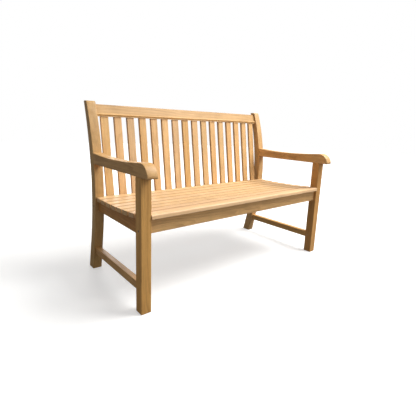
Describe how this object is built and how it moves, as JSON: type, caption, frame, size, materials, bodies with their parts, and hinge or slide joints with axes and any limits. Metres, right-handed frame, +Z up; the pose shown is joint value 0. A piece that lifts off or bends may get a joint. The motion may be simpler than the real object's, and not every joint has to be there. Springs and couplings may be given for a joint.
{
  "type": "garden bench",
  "caption": "Two-seat teak garden bench with a dished slatted seat, upright slatted back between curved posts, scrolled arms and side stretchers.",
  "frame": {"origin": "on the ground, midway along the length and midway between the arm scrolls and the heels of the rear feet", "axes": "+X along the length to the right of someone facing the front, +Y from front to back, +Z up"},
  "size_m": [1.3, 0.6591, 0.905],
  "materials": {
    "teak_frame": "oiled, sanded",
    "teak_back": "oiled, sanded",
    "teak_seat": "oiled, sanded",
    "teak_peg": "sanded flush, end grain",
    "screw_steel": "plain"
  },
  "bodies": {
    "root": {"back_post_left": "teak_frame", "back_post_right": "teak_frame", "front_leg_left": "teak_frame", "front_leg_right": "teak_frame", "arm_left": "teak_frame", "arm_right": "teak_frame", "side_rail_left": "teak_frame", "side_rail_right": "teak_frame", "stretcher_left": "teak_frame", "stretcher_right": "teak_frame", "front_rail": "teak_frame", "seat_bearer": "teak_frame", "lower_back_rail": "teak_frame", "top_rail": "teak_frame", "back_slat_1": "teak_back", "back_slat_2": "teak_back", "back_slat_3": "teak_back", "back_slat_4": "teak_back", "back_slat_5": "teak_back", "back_slat_6": "teak_back", "back_slat_7": "teak_back", "back_slat_8": "teak_back", "back_slat_9": "teak_back", "back_slat_10": "teak_back", "back_slat_11": "teak_back", "back_slat_12": "teak_back", "back_slat_13": "teak_back", "back_slat_14": "teak_back", "back_slat_15": "teak_back", "back_slat_16": "teak_back", "front_slat": "teak_seat", "seat_slat_1": "teak_seat", "seat_slat_2": "teak_seat", "seat_slat_3": "teak_seat", "seat_slat_4": "teak_seat", "seat_slat_5": "teak_seat", "seat_slat_6": "teak_seat", "seat_slat_7": "teak_seat", "seat_frame_pegs": "teak_peg", "stretcher_pegs": "teak_peg", "arm_pegs": "teak_peg", "cross_rail_pegs": "teak_peg", "seat_screws": "screw_steel"}
  },
  "joints": []
}
